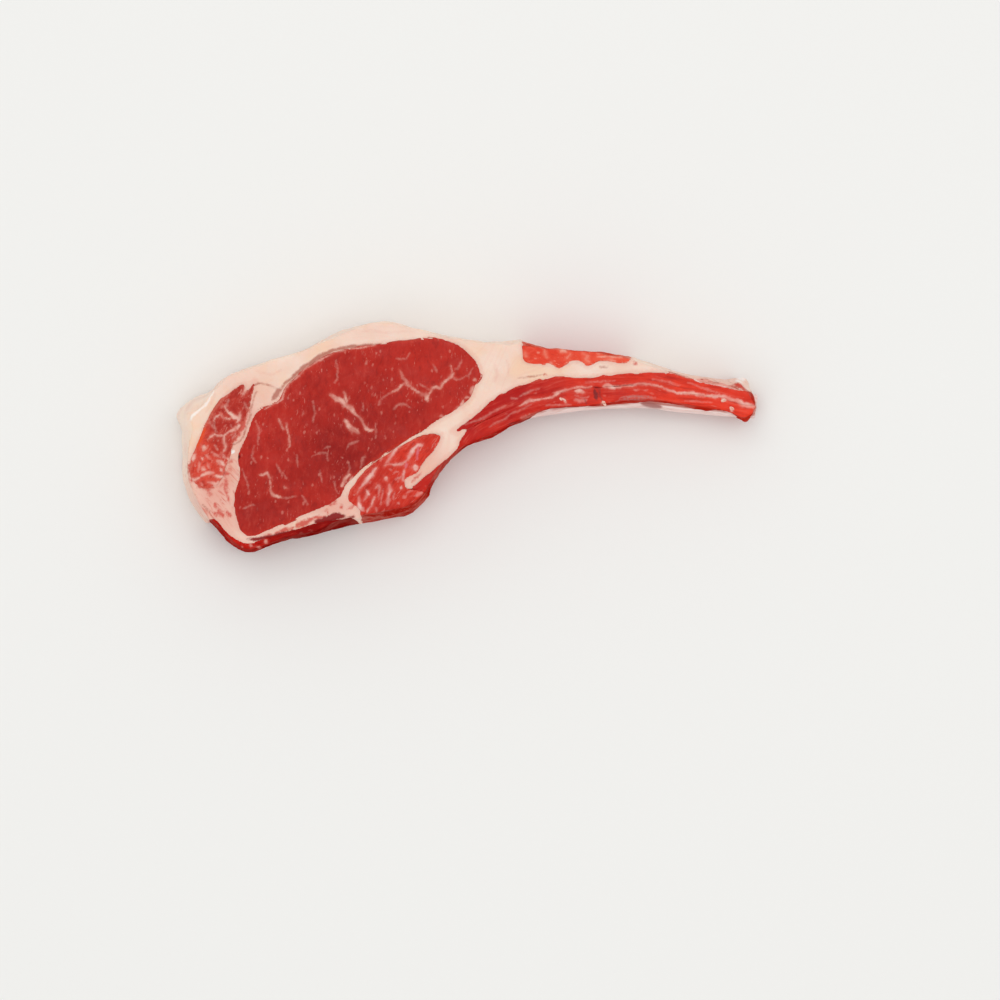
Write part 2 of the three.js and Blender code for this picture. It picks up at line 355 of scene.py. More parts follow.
# Raw lean is moist: it has a soft sheen, and light goes a little way in and comes back red. Between its
# fibre bundles lie pale flecks, dots and strokes of fat.
leanMeat = {
    "slot": "lean_meat", "voxel": 0.3, "smooth": 2, "grow": 0.22, "sink": 0.0,  # mm
    "strokes": [], "faint": [], "cuts": [], "glaze": [],
    "relief": [(0.16, 5, 1), (0.08, 2.4, 2)],  # height and size in mm, seed
    "fibreRelief": [(0.05, (2.5, 1, 2), 5)],
    "wallRelief": [(0.4, 5, 11), (0.16, 1.8, 12)], "strokeHeight": 0.06, "cutDepth": 0.3,
    "broadSize": 8, "broadStrength": 1.3,  # mottling of the base colour, mm
    "bundleSize": (1.9, 1.1, 1.1), "grainStrength": 0.35, "deepStrength": 0.6,  # fibre bundles, mm
    "fleckSize": (1.7, 0.5, 0.5), "fleckPatch": 7, "fleckFrom": 0.64, "fleckStrength": 0.5,
    "dotCell": (2.6, 1.7, 1.7), "dotSize": 0.24, "dotStrength": 0.4,  # cells with a dot in some, mm
    "strokeRough": 0.95, "haloStrength": 0.3, "strokeStrength": 0.95, "strokeLowest": 0.35,
    "faintStrength": 0.4, "rimReach": 0.9, "rimStrength": 0.5,  # meat of another tone beside the fat, mm
    # the walls are painted darker at the first strength on this line: painted shade
    "wallLightAndShadeStrength": 0.6, "wallThins": 0.2,  # strokes are this much thinner on the walls, mm
    "filmTone": "#d58679", "filmPatch": 5, "filmStrength": 0.35,  # membrane in patches on the walls, mm
    "cutShadeAndBlood": "#4a0806", "glazeTone": "#b23326",
    "roughLow": 0.3, "roughHigh": 0.55, "bump": 0.5, "gloss": 0.18, "coat": 0.08,
    "shader": {"IOR": 1.38, "Subsurface Weight": 0.1, "Subsurface Radius": (1.0, 0.25, 0.12),
               "Subsurface Scale": 0.0012, "Coat Roughness": 0.22},
}


def leanMaterial(look):
    m, place, grain, strokes, faint, shade, cuts, rim, glaze, wall = newMaterial(
        look["name"] + "Lean", ["grain"], ["strokes", "faint", "shade", "cuts", "rim", "glaze", "wall"])

    # mottled base colour
    broad = centredNoise(m, place, look["broadStrength"], Scale=1 / look["broadSize"], Detail=6,
                         Roughness=0.68)
    tone = addNode(m, "Math", {"operation": "ADD", "use_clamp": True}, {0: broad, 1: shade})

    # bundles of fibres, longer along the grain than across it
    fine = alongFibres(m, grain, look["bundleSize"], Detail=6, Roughness=0.68, Distortion=0.5)
    grains, deep = (
        addNode(m, "MapRange", {**eased, "From Min": 0.5, "From Max": full, "To Max": look[strength]},
                {"Value": fine})
        for full, strength in ((0.72, "grainStrength"), (0.3, "deepStrength")))

    # pale flecks of fat between the bundles, gathered in patches
    fleck = alongFibres(m, grain, look["fleckSize"], shift=(3.7, 1.3, 8.1), Detail=3, Roughness=0.55,
                        Distortion=1.2)
    gather = centredNoise(m, place, 0.3, Scale=1 / look["fleckPatch"], Detail=2)
    fleck = addNode(m, "Math", {"operation": "ADD"}, {0: fleck, 1: gather})
    fleck = addNode(m, "MapRange", {**eased, "From Min": look["fleckFrom"], "To Max": look["fleckStrength"],
                                    "From Max": look["fleckFrom"] + 0.12}, {"Value": fleck})

    # small dots of fat, in some of the cells only
    rough = centredNoise(m, place, look["strokeRough"], Scale=1.6, Detail=4, Roughness=0.65)
    cell = alongFibres(m, grain, look["dotCell"], "TexVoronoi")
    chosen = addNode(m, "MapRange", {"From Min": 0.42, "From Max": 0.7, "To Max": look["dotStrength"]},
                     {"Value": (cell, "Color")})
    dot = softMark(m, rough, cell, 0.45, look["dotSize"], look["dotSize"] - 0.16, 1)
    dot = addNode(m, "Math", {"operation": "MULTIPLY"}, {0: dot, 1: chosen})

    # drawn strokes of fat, dark cuts (painted shade in grooves and holes, with some blood) and glazed spots,
    # roughened at their edges, and the rim beside the fat
    halo, stroke, weak, cutShadeAndBlood, shine, border = (softMark(m, rough, *row) for row in (
        (strokes, 1, 1.0, 0.0, look["haloStrength"]), (strokes, 1, 0.36, -0.34, 1),
        (faint, 1, 0.38, -0.42, look["faintStrength"]), (cuts, 1, 0.3, -0.3, 0.85),
        (glaze, 1, 0.3, -0.3, 0.8), (rim, 2.2, look["rimReach"], 0.0, look["rimStrength"])))
    fading = addNode(m, "TexNoise", {"Scale": 0.4, "Detail": 3}, {"Vector": place})
    fading = addNode(m, "MapRange", {"From Min": 0.38, "From Max": 0.56, "To Min": look["strokeLowest"],
                                     "To Max": look["strokeStrength"]}, {"Value": fading})
    stroke = addNode(m, "Math", {"operation": "MULTIPLY"}, {0: stroke, 1: fading})

    # walls painted darker with the deep tone, painted shade, with membrane in patches, more of it beside the
    # fat
    wallLightAndShade = addNode(m, "Math", {"operation": "MULTIPLY", 1: look["wallLightAndShadeStrength"]}, {0: wall})
    patch = addNode(m, "TexNoise", {"Scale": 1 / look["filmPatch"], "Detail": 6, "Roughness": 0.62},
                    {"Vector": place})
    beside = addNode(m, "Math", {"operation": "MULTIPLY_ADD", 1: -0.08, 2: 0.2}, {0: rim})
    patch = addNode(m, "Math", {"operation": "ADD"}, {0: patch, 1: beside})
    patch = addNode(m, "MapRange", {**eased, "From Min": 0.45, "From Max": 0.64,
                                    "To Max": look["filmStrength"]}, {"Value": patch})
    film = addNode(m, "Math", {"operation": "MULTIPLY"}, {0: patch, 1: wall})
    colour = layColours(m, look, "dark", (
        (tone, "bright"), (wallLightAndShade, "deep"), (grains, "pale"), (deep, "deep"), (border, "rimTone"),
        (halo, "pale"), (fleck, "fleck"), (dot, "fleck"), (weak, "stroke"), (stroke, "stroke"),
        (film, "filmTone"), (shine, "glazeTone"), (cutShadeAndBlood, "cutShadeAndBlood")))

    # sheen in patches, and none on the walls
    wet = addNode(m, "TexNoise", {"Scale": 0.35, "Detail": 5}, {"Vector": place})
    roughness = addNode(m, "MapRange", {"From Min": 0.3, "From Max": 0.7, "To Min": look["roughLow"],
                                        "To Max": look["roughHigh"]}, {"Value": wet})
    gloss, coat = (addNode(m, "MapRange", {"To Min": look[name], "To Max": 0}, {"Value": wall})
                   for name in ("gloss", "coat"))
    height = addNode(m, "Math", {"operation": "MULTIPLY_ADD", 1: 0.5}, {0: stroke, 2: fine})
    bump = addNode(m, "Bump", {"Strength": look["bump"], "Distance": 0.0003}, {"Height": height})
    return closeMaterial(m, look["shader"], {"Base Color": colour, "Roughness": roughness, "Normal": bump,
                                             "Specular IOR Level": gloss, "Coat Weight": coat})


def makeMeat(node, look):
    piece = skinOf(node, look)
    points, normals = readSkin(piece.data)
    moved = wandering(points)
    grain = grainRib(points) if look["fibreAngle"] is None else grainAlong(points, look["fibreAngle"])
    wall = wallShare(normals)
    marks = {name: strokeDistance(moved, look[name]) + look["wallThins"] * wall
             for name in ("strokes", "faint", "glaze")}
    marks["cuts"] = strokeDistance(moved, look["cuts"])
    depths = relief(points, look["relief"]) + relief(grain, look["fibreRelief"])
    depths += relief(points, look["wallRelief"]) * wall
    depths += look["strokeHeight"] * fade(-marks["strokes"], -0.2, 0.2)
    depths -= look["cutDepth"] * fade(-marks["cuts"], -0.1, 0.4)
    carve(piece, depths, look["sink"])
    writeAttributes(
        piece.data, grain=grain, wall=wall, rim=nearestTissue(points, ["fat_cover"], 2.5),
        shade=zoneLevel(points, look["level"], look["zones"]), **marks)
    finishPiece(piece, node, look, leanMaterial(look))


eyeOfMeat = {
    **leanMeat, "name": "eyeOfMeat", "fibreAngle": 84, "closesOn": [("rib_side_muscle", 0.33, 3.2)],
    "sink": 0.25, "level": 0.7,
    "dark": "#920f07", "bright": "#c0271a", "pale": "#c84e3e", "deep": "#7c0a06", "fleck": "#d98a7b",
    "stroke": "#e5ab9c", "rimTone": "#cd3522",
    "bundleSize": (2.4, 1.3, 1.3), "deepStrength": 0.4, "grainStrength": 0.3,
    "zones": [(-31, -4, 13, 11, -0.7), (-51, -17, 8, 6, -0.4), (-25, 12, 12, 8, -0.2), (-14, 4, 8, 6, -0.1)],
    # the notch is painted near black: painted shade in the hollow
    "cuts": [(0.75, -57.6, -4.7, -57, -5.6)],
    "strokes": [
        # veins of fat in the upper right
        (0.5, -15.2, 14.4, -14.8, 13.6, -14.4, 12.6), (0.2, -16.5, 16.4, -15.9, 15, -14.8, 13.6),
        (0.18, -14.8, 13.6, -16.6, 12.3, -18.4, 11.1), (0.36, -10.1, 10.7, -9.7, 8.9),
        (0.24, -14.8, 13.6, -13.4, 12, -9.9, 9.9, -9.5, 9.2),
        (0.24, -9.9, 9.6, -8.5, 12.1, -7.5, 12.5, -6.4, 12, -5.9, 13.2, -3.5, 14.9),
        (0.34, -4.6, 14.2, -3.4, 15.2, -3, 15.8), (0.15, -3.5, 14.9, -3.4, 16.1, -4, 17.6),
        # the two large seams in the middle
        (0.55, -34.2, 10.5, -32.2, 9.3, -30.6, 8.6), (0.44, -31.8, 9.4, -28.9, 7, -27.4, 5.5),
        (0.2, -28.4, 6.5, -26.4, 4.7, -24.9, 2.2, -23.8, 1.6), (0.36, -25.2, 2.2, -24.2, 1.6, -23.4, 1.5),
        (0.28, -30.6, 11.2, -30.2, 9.8, -29.6, 8.2), (0.55, -30.2, 4.2, -28.9, 2, -26.8, 0.8),
        # the hook at the lower left
        (0.2, -51.8, -9.9, -49.6, -8.9, -48.9, -10.2, -49, -13.4),
        (0.36, -49.3, -13, -48.2, -14.8, -46.4, -15.2), (0.24, -47, 4.3, -45.6, 1.9),
        (0.14, -44.9, 3.1, -44.5, 0.2, -44.1, -2.9), (0.28, -45.3, -12.6, -44.8, -13),
        # thin skin on the upper left, and teeth of fat along the border beside the rib
        (0.16, -50.3, 6.9, -47.3, 8.5, -46, 9.6, -45.5, 11.4, -44.4, 13, -41.7, 15.6, -39, 17.7, -36, 19.5,
         -33, 20.9, -28.5, 22, -22.5, 22.8), (0.34, 1.9, 12.6, 1.4, 11.4, 1.7, 10.2),
        (0.3, -0.6, 8.7, -1.3, 7.4), (0.3, -2, 7.4, -2.7, 6.1, -3.8, 5), (0.25, 0.8, 9.8, -0.1, 9.4),
        (0.28, -5.4, 4.9, -6.3, 4.9), (0.22, 2.6, 13.8, 2.1, 14.6),
        (0.4, -31, -12.6, -30.4, -10.8, -29, -9.6), (0.3, -29.4, -12.2, -28.4, -10.4),
    ],
    "faint": [
        (0.15, -18, 11.4, -20.8, 9.4, -22, 7.9), (0.16, -2.2, 17.1, -1.2, 18.9),
        (0.16, -3.5, 14.9, -2.4, 14.3, -0.9, 14.4, 0.4, 15.2, 1.9, 17.2), (0.14, -11.5, 13.1, -9.5, 11.6),
        (0.2, -18.2, 6.9, -16.8, 8.1, -15.2, 7.9, -13.8, 7.4),
        (0.16, -32.6, 18.8, -31.9, 16.4, -32.2, 14.4, -32.9, 13.4), (0.2, -24.8, 18.9, -25.3, 17.8),
        (0.14, -17.5, 19.4, -15.2, 19.4, -14, 20.9), (0.18, -8.4, 18, -7.4, 16.2),
        (0.22, -29.9, -3.1, -29.2, -1.9, -27, -1.1), (0.18, -26.4, -8, -25.2, -4.6),
        (0.18, -29.3, -6.7, -29.1, -8, -29.4, -9.4), (0.2, -25.3, -4.6, -26, -6.2),
        (0.15, -33.1, -11.4, -32.6, -12.8, -32, -14.4), (0.15, -46.9, -15.2, -44.4, -15.4, -42.4, -15),
        (0.14, -38.6, -4.9, -36.1, -3.9, -34.7, -4.4, -34.4, -6.1), (0.2, -55.8, -17.9, -53, -17.2),
        (0.16, -52.2, 3.5, -51.6, 0.8, -51.8, -2.2), (0.15, -52.8, -2.4, -53.6, -5.2, -52.6, -6.6),
        (0.16, -38.4, 8.8, -37.8, 6, -38.2, 3.5), (0.14, -56, -8, -54.4, -12.6),
        (0.13, -42.3, -4.8, -41.9, -7.6), (0.13, -36.4, -8.6, -36.1, -11.6), (0.13, -22.6, 3.3, -22.8, -0.3),
        (0.15, -25.9, 8.3, -25.7, 6.4), (0.13, -40.9, 6.4, -41.1, 5),
        (0.13, -47.2, -7, -46.4, -8.8, -44.8, -10.4), (0.13, -41, -14.7, -39.5, -17.1),
        (0.14, -35.4, -3, -34, -2.6), (0.13, -54.9, -11.3, -54.4, -13.7),
    ],
}
makeMeat("eye_muscle", eyeOfMeat)

# The cap is darker above and breaks up into pale web below.
capOfMeat = {
    **leanMeat, "name": "capOfMeat", "slot": "marbled_meat", "fibreAngle": 62, "sink": 0.1,
    "grow": 0.5, "level": 0.15,
    "dark": "#a31a11", "bright": "#d6432f", "pale": "#dc6f5e", "deep": "#8c140d", "fleck": "#e29b8a",
    "stroke": "#ecbcad", "cutShadeAndBlood": "#8e3a30", "glazeTone": "#e0470f", "rimTone": "#da7a66",
    "bundleSize": (1.6, 1.1, 1.1), "fleckSize": (1.3, 0.6, 0.6), "fleckPatch": 4, "fleckFrom": 0.6,
    "dotStrength": 0.3, "strokeRough": 1.0,
    "zones": [(-65, -8, 6, 7, 0.85), (-66.5, 0, 2.5, 4, 0.7)],
    "cuts": [(0.12, -54.2, 9.6, -54.5, 7.6, -54.1, 6.4, -53.7, 5, -54.5, 3.4, -55.1, 1.8)],
    "glaze": [(0.5, -65.2, 2, -66, 0.2, -66.7, -1.2, -67.4, -2.8)],
    "strokes": [
        (0.36, -54.9, 13.4, -55.2, 11.8, -55.8, 10.6), (0.18, -60.4, 7.7, -59.6, 6.5, -58.8, 5.4),
        (0.5, -59.2, 6, -58, 4.9, -56.7, 4.3), (0.28, -56.5, 5.8, -56.7, 4.4, -57.3, 3.4),
        (0.14, -59.2, 4.3, -60.4, 4.6, -61.4, 5.2, -62.6, 4.8, -63, 4),
        (0.18, -64.2, -0.6, -63, 0.4, -62, 0.2, -60.4, 0.3, -59.2, 1),
        (0.3, -59.2, 1, -58.2, 1.6, -57.2, 2.3, -56.8, 2.8),
        (0.22, -60.4, 0.2, -60.4, -1.6, -60, -2.6, -60.4, -3.8), (0.55, -65.8, -2.8, -65, -3.2),
        (0.3, -65.9, -5.7, -65.6, -5.9), (0.4, -66, -7.8, -65.3, -8.2),
        (0.5, -62.4, -6.3, -61.2, -6.6, -60.4, -7), (0.36, -61.4, -8, -60.9, -8.7),
        (0.34, -66.2, -9.6, -64.6, -9, -63.2, -9), (0.3, -63.2, -9.7, -61, -10.2, -58.8, -10.3),
        (0.36, -69.4, -10.9, -67.8, -10.9, -66.4, -10), (0.4, -64.6, -11.4, -62.6, -11.9, -61.4, -11.4),
        (0.3, -59.4, -5.4, -58.6, -6.8, -59, -8.2), (0.4, -68, -4.4, -67.9, -6.4),
    ],
    "faint": [
        (0.16, -59.4, 9.2, -59.6, 8, -60.2, 7.4), (0.15, -63, 3.8, -62.8, 2.2, -62.4, 1),
        (0.15, -64.2, 4.2, -63.4, 2.6, -62.8, 1.4), (0.2, -55.6, 8.6, -55, 6.8),
        (0.3, -65, -4.6, -63.8, -5.8), (0.3, -63.6, -3.8, -62.6, -4.9, -61.2, -5.2),
        (0.35, -60.8, -4.4, -59.8, -5.6), (0.3, -66.6, -6.6, -66.9, -8.6), (0.25, -64.6, -6.8, -64.2, -7.9),
        (0.3, -60, -9.4, -58.8, -9.2), (0.2, -57.6, 0.8, -58.6, -0.8), (0.25, -66.4, -11.4, -65.8, -12.4),
        (0.2, -63.6, -12.8, -62.4, -12.6), (0.18, -58.8, 3, -57.6, 1), (0.2, -62.8, -2, -62, -3.4),
    ],
}
makeMeat("cap_muscle", capOfMeat)

# The muscle beside the rib has coarse bundles with thick fat between them.
ribSideMeat = {
    **leanMeat, "name": "ribSideMeat", "slot": "marbled_meat", "fibreAngle": 52,
    "closesOn": [("eye_muscle", 0.33, 3.2)],
    "dark": "#b01c11", "bright": "#dc3620", "pale": "#dd6a5b", "deep": "#8c100a", "fleck": "#e29b8e",
    "stroke": "#ebbab0", "glazeTone": "#d9707a", "rimTone": "#d9604e",
    "bundleSize": (3.2, 0.8, 0.8), "grainStrength": 0.5, "fleckSize": (2.4, 0.5, 0.5),
    "fleckPatch": 5, "fleckFrom": 0.63, "dotStrength": 0.3,
    # the last zone darkens the strip along the lower edge: painted shade
    "level": 0.6, "zones": [(-24, -9, 5, 5, -0.3), (-12, -16, 6, 4, 0.1), (-18, -19, 12, 2.5, -0.3)],
    "glaze": [(0.3, -11.8, -2.4, -12, -4, -12.2, -5.8), (0.3, -14.7, -6.6, -14.9, -7.8)],
    "strokes": [
        (0.3, -16.2, -1.7, -16.9, -2.6, -17.8, -3.8, -19.2, -5.4, -19.9, -6.7),
        (0.16, -20.4, -7.4, -18.9, -7.1, -17.5, -7.1, -16.1, -7, -15, -6.6, -14.3, -5.9),
        (0.4, -14.5, -6, -14, -4.9, -13.2, -3.6, -12.6, -2.6), (0.36, -12.8, -2.5, -11.7, -2.1, -10.8, -2.1),
        (0.7, -12.6, -7.2, -12.5, -8.6), (0.25, -15.2, -8.2, -15.5, -9.6, -15.8, -11, -14.8, -11.3),
        (0.45, -22.4, -8, -23.1, -9.2, -24, -10.3, -25, -11.2, -26.1, -12.2),
        (0.18, -25.8, -12, -26.6, -13.3, -27.1, -14.4), (0.4, -20.3, -10.3, -19.8, -10.9),
        (0.4, -19.2, -12, -18.8, -13.4, -19.3, -14.6), (0.16, -22.9, -15.2, -23.7, -17.3, -24.6, -18.9),
        (0.22, -22.8, -12.9, -21.9, -12.3, -21.5, -13.5), (0.36, -16.4, -12.9, -16, -13),
        (0.3, -24.6, -13.8, -24.4, -14.7), (0.4, -8.7, -11.2, -9.8, -12.6, -10.9, -13.6),
        (0.5, -26.9, -16.6, -26.4, -18.2),
    ],
    "faint": [
        (0.18, -21.1, -4.9, -21.3, -6), (0.5, -19.3, -14.2, -19.2, -15.9, -19.6, -17.3),
        (0.15, -20.7, -13.3, -21, -15.2, -21.2, -17), (0.14, -21.7, -13.6, -21.9, -15.4),
        (0.16, -24.1, -13.6, -25.7, -16.1), (0.4, -26.4, -15, -26.9, -16.4),
        (0.3, -17.2, -16.6, -16.8, -16.5), (0.2, -15.6, -15.2, -15, -14.8), (0.45, -11.2, -13.8, -12.5, -15),
        (0.16, -19.2, -8.4, -18.6, -8.6), (0.5, -25.4, -18.4, -27.4, -17.4),
        (0.2, -17.6, -10.9, -16.4, -10.3), (0.15, -18.2, -9.4, -16.8, -8.8),
        (0.15, -13.4, -13.6, -14.8, -14.2), (0.2, -22.6, -17.6, -22.2, -19), (0.16, -17.6, -13.8, -18, -15.6),
    ],
}
makeMeat("rib_side_muscle", ribSideMeat)

# The two layers along the rib have long fibres, a pale fascia where they meet, and torn vessel ends.
alongRib = {
    **leanMeat, "slot": "rib_meat", "grow": 0.3, "fibreAngle": None,
    "dark": "#b20e07", "bright": "#e8391f", "pale": "#e26a58", "deep": "#940c06", "fleck": "#e89c8c",
    "stroke": "#ecb6a9", "cutShadeAndBlood": "#7a2a2c", "glazeTone": "#b5716a", "rimTone": "#e0604c",
    "bundleSize": (8, 0.8, 0.8), "grainStrength": 0.4, "deepStrength": 0.5, "filmStrength": 0.25,
    "fleckSize": (6, 0.45, 0.45), "fleckFrom": 0.67, "rimReach": 0.5, "dotStrength": 0.2,
    "strokeRough": 0.8, "strokeLowest": 0.5, "haloStrength": 0.2,
    "cuts": [
        (0.2, 31.9, 12.2, 33.6, 12), (0.5, 32.2, 11.6, 32.6, 10.6, 32.8, 9),
        (0.15, 33.3, 11.8, 33.4, 10.4, 33.9, 9), (0.12, 29.8, 9.6, 30, 8.2),
        (0.1, 21.4, 5.8, 25, 6.1, 28, 6.3, 31.3, 6.7), (0.1, 10.7, 3.3, 13.6, 3.9, 16.4, 4.8, 20.3, 5.6),
    ],
    "glaze": [
        (0.16, 37.4, 8.9, 40, 9.2, 43, 9.4, 45.6, 9.4, 47.6, 8.8),
        (0.16, 38.6, 9.6, 41, 10, 44, 10.2, 46.4, 9.9), (0.1, 19, 6.2, 24, 7),
    ],
    "strokes": [
        # fascia
        (0.2, 13.5, 7.8, 15.6, 8.75, 17.6, 9, 21.4, 9.8), (0.3, 14.6, 8.4, 15.6, 8.9, 16.6, 9.1),
        (0.22, 21.4, 9.9, 22.6, 10.9, 24.6, 11.6, 26.8, 12), (0.36, 21.9, 10.5, 23.4, 11.2),
        (0.13, 26.8, 12.1, 29.4, 12.5, 31.4, 12.3), (0.5, 27.4, 11.4, 28.4, 11.4, 29.5, 11.3),
        (0.2, 36.6, 12.5, 38.6, 12.3, 40.5, 12.7, 43.2, 13.2, 46, 13.2, 48.7, 12.5, 51.4, 11.6),
        (0.32, 50.4, 11.8, 52.8, 11, 55.1, 10.9, 58, 10.5, 60.7, 10.4, 63.2, 10),
        (0.32, 61.8, 10.2, 65, 9.8, 67, 9.1, 68.6, 8.4), (0.4, 65.2, 9.8, 67.2, 9.1),
        (0.55, 67.2, 9, 69.2, 8.2, 71, 7.8, 73, 7.6), (0.12, 13.8, 4.6, 16, 5.3, 18.4, 6),
        (0.5, 34.2, 12.4, 35.4, 12.6, 37.2, 12.1),
        # round the torn ends of small vessels
        (0.24, 23.4, 9.5, 24.4, 9.3, 25, 8.7), (0.26, 34, 8.4, 34.2, 7.5, 35, 7.6), (0.3, 64, 9.2, 65, 9),
        (0.2, 66.3, 6.9, 66.9, 6.6), (0.35, 72.4, 9.6, 72.8, 7.6, 72.2, 5.6),
    ],
    "faint": [  # pale lines along the fibres
        (0.12, -1, 2.6, 1.2, 3.4, 4.2, 4.5, 6.9, 6.3, 8.4, 7, 10.1, 7.6),
        (0.12, 5.7, 2.4, 6.9, 3, 9.4, 4.2, 11.9, 5.8, 14.1, 7, 16.4, 8),
        (0.2, 13.5, 10.2, 16.6, 11.4, 18.5, 12), (0.16, 11.3, 9.6, 12.8, 9.6),
        (0.14, 55.3, 13.4, 59.3, 12.2, 61.8, 11.2, 63.4, 10.6), (0.2, 41.9, 11.6, 43.4, 11.6),
        (0.18, 44.6, 11.6, 45.6, 11.7), (0.12, 30, 13.7, 33.4, 13.6, 37.4, 14),
        (0.12, 55, 9, 58.8, 8.8, 61.8, 8.6), (0.14, 27.4, 10.2, 29.2, 9.6, 30.9, 10.2),
        (0.4, 27.2, 9.2, 28.6, 8.8, 30.2, 9.3), (0.14, 38.4, 9.6, 43, 9.9, 47.2, 9.6),
        (0.12, 19.6, 7.6, 22.8, 8, 26.4, 8), (0.13, 46.4, 14.4, 50.2, 13.8, 53.6, 12.8),
    ],
}
outerRibMeat = {
    **alongRib, "name": "outerRibMeat", "sink": 0.1, "level": 0.0,
    "zones": [(34, 14, 16, 9, 0.5), (62, 12, 18, 9, 0.75)],
}
innerRibMeat = {
    **alongRib, "name": "innerRibMeat", "level": 0.1,
    "zones": [(34, 8, 16, 9, 0.4), (64, 8, 18, 9, 0.75), (72, 7, 4, 4, 0.4)],
}
makeMeat("outer_rib_meat", outerRibMeat)
makeMeat("inner_rib_meat", innerRibMeat)

# The torn ends of small vessels stand a little out of the meat as pale, glossy knots.
vesselEnds = {
    "name": "vesselEnds", "slot": "rib_meat", "ringRadius": 0.28, "tubeRadius": 0.22,  # mm
    "relief": [(0.13, 0.45, 21)],
    # x, y, turn in degrees, stretch
    "ends": [(24.2, 9.2, -25, 2.0), (34.5, 8.3, -50, 1.5), (64.5, 9.1, 15, 1.5), (66.6, 7.0, -30, 1.3)],
    "tilt": (0.25, 0.1), "squash": 0.8, "crest": "#eec3b2", "dip": "#d98f80",
    "shader": {"Roughness": 0.3, "IOR": 1.4, "Subsurface Weight": 0.2, "Subsurface Radius": (1.0, 0.5, 0.35),
               "Subsurface Scale": 0.0006},
}


def makeVesselEnds(look):
    m, place = newMaterial("VesselWall")
    grit = addNode(m, "TexNoise", {"Scale": 2.2, "Detail": 3}, {"Vector": place})
    tone = addNode(m, "MapRange", {"From Min": 0.35, "From Max": 0.55}, {"Value": grit})
    closeMaterial(m, look["shader"], {"Base Color": layColours(m, look, "dip", ((tone, "crest"),))})

    curls = []
    for x, y, turn, stretch in look["ends"]:
        above, down = Vector((x, y, 40)), Vector((0, 0, -1))
        hits = [tree.ray_cast(above, down)[0] for tree in trees.values()]
        height = max(hit.z for hit in hits if hit is not None)
        bpy.ops.mesh.primitive_torus_add(
            location=(x * mm, y * mm, height * mm), rotation=(*look["tilt"], math.radians(turn)),
            major_radius=look["ringRadius"] * mm, minor_radius=look["tubeRadius"] * mm,
            major_segments=28, minor_segments=10)
        bpy.context.active_object.scale = (stretch, look["squash"], 1)
        curls.append(bpy.context.active_object)
    for curl in curls:
        curl.select_set(True)
    bpy.ops.object.join()
    piece = bpy.context.active_object
    piece.name = piece.data.name = look["name"]
    bpy.ops.object.transform_apply()
    points, normals = readSkin(piece.data)
    points += relief(points, look["relief"])[:, None] * normals
    writePoints(piece.data, np.minimum(points, np.array(cadHigh) / mm))
    finishPiece(piece, None, look, m)


makeVesselEnds(vesselEnds)

# The strip on the outside of the handle is the brightest meat, with pale fat breaking in from its border.
handleStripMeat = {
    **leanMeat, "name": "handleStripMeat", "slot": "rib_meat", "fibreAngle": -8, "sink": 0.1,
    "dark": "#da3018", "bright": "#ea5236", "pale": "#ee8066", "deep": "#b01c0c", "fleck": "#f0a791",
    "stroke": "#f2b9a4", "rimTone": "#ee8f78", "filmTone": "#e7aa97",
    "filmStrength": 0.5, "deepStrength": 0.3, "wallThins": 0.4,
    "fleckSize": (1.4, 0.7, 0.7), "fleckPatch": 4, "fleckFrom": 0.63, "rimReach": 0.6,
    "strokeLowest": 0.15, "strokeStrength": 0.7,
    "level": 0.35, "zones": [(36, 20, 7, 6, 0.5)],
    "strokes": [
        (0.3, 14.8, 21, 14.9, 20), (0.25, 19.6, 21.6, 19.9, 20.4, 20.4, 19.8), (0.45, 23.8, 21.7, 24.8, 21),
        (0.16, 29.4, 20.8, 30.4, 20.2, 29.8, 19.4, 30.8, 18.8),
        (0.2, 33.2, 20.1, 35.6, 19.8, 37.6, 20, 39.2, 19.7), (0.25, 21, 18.4, 21.6, 18.2),
        (0.14, 25.2, 19.6, 26, 20.6), (0.16, 34.6, 18.8, 37.4, 18.9),
    ],
}
makeMeat("handle_strip", handleStripMeat)

# The strip along the chine edge is the darkest meat: its dark red, darkest towards its right end, is partly
# painted shade of the hollow under the chop's edge.
chineStripMeat = {
    **leanMeat, "name": "chineStripMeat", "slot": "rib_meat", "fibreAngle": 15,
    "dark": "#8a0c0a", "bright": "#c41a0f", "pale": "#cb3e30", "deep": "#600706", "fleck": "#d6867a",
    "stroke": "#e0a598", "rimTone": "#b8281b",
    "bundleSize": (3.5, 0.9, 0.9), "fleckPatch": 4, "fleckFrom": 0.66, "rimReach": 0.8,
    "wallLightAndShadeStrength": 0.4, "filmStrength": 0.12, "gloss": 0.05, "coat": 0.0,
    "level": 0.3, "zones": [(-58, -25, 7, 5, 0.6), (-36, -22, 9, 6, -0.45)],
    "strokes": [
        (0.4, -54, -27.2, -53.4, -27.4), (0.5, -52.2, -27.6, -51.4, -28.2), (0.3, -50.3, -26, -49.8, -26.6),
    ],
}
makeMeat("chine_strip", chineStripMeat)


